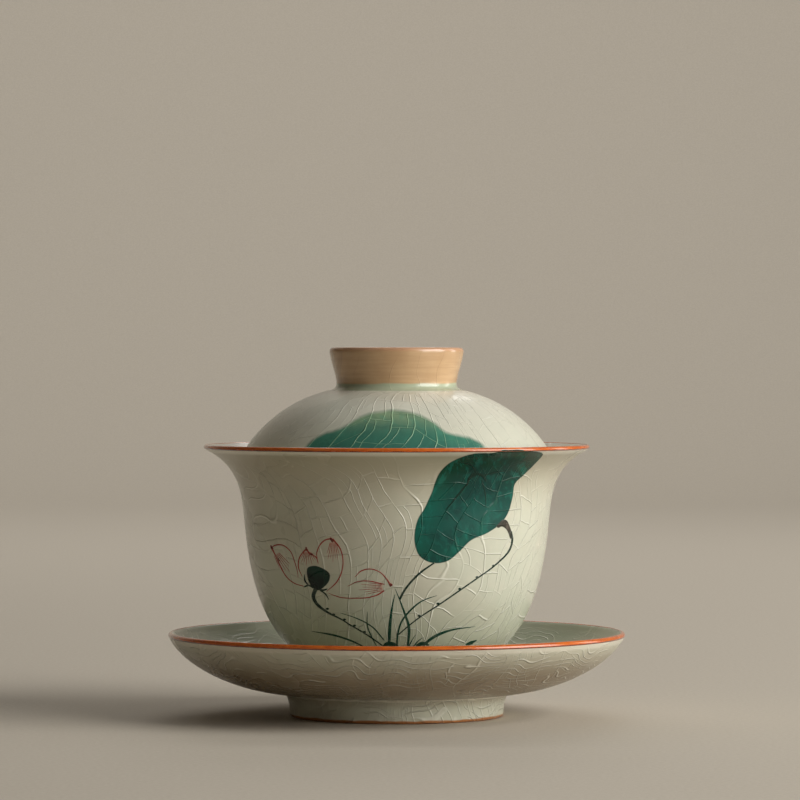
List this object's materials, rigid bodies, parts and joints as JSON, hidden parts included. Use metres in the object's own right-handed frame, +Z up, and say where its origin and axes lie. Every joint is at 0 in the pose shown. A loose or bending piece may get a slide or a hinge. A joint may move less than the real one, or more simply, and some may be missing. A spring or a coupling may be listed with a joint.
{
  "type": "gaiwan",
  "caption": "Covered tea bowl with a flared mouth, domed lid with a ring knob, and a footed saucer, in crackled celadon with iron-coloured rims.",
  "frame": {"origin": "centre of the saucer's foot, at table level", "axes": "+Z up, along the axis of turning; the painted leaf and flower face -Y"},
  "size_m": [0.116, 0.116, 0.0936],
  "materials": {
    "celadon_glaze": "satin gloss, crackled",
    "foot_glaze": "gloss with an iron-brown foot line",
    "iron_rim": "gloss",
    "tan_glaze": "gloss",
    "leaf_pigment": "painted, satin gloss",
    "line_pigment": "painted, satin gloss",
    "ink_pigment": "painted, satin gloss"
  },
  "bodies": {
    "saucer": {"saucer_dish": "celadon_glaze", "saucer_foot_ring": "foot_glaze", "saucer_rim_band": "iron_rim"},
    "bowl": {"bowl_wall": "celadon_glaze", "bowl_foot_ring": "foot_glaze", "bowl_rim_band": "iron_rim"},
    "lid": {"lid_dome": "celadon_glaze", "lid_knob": "tan_glaze", "lid_rim_band": "iron_rim"}
  },
  "joints": [
    {"name": "bowl_lift", "type": "slide", "parent": "saucer", "child": "bowl", "axis": [0, 0, 1], "range_m": [0, 0.05]},
    {"name": "lid_lift", "type": "slide", "parent": "bowl", "child": "lid", "axis": [0, 0, 1], "range_m": [0, 0.05]}
  ]
}
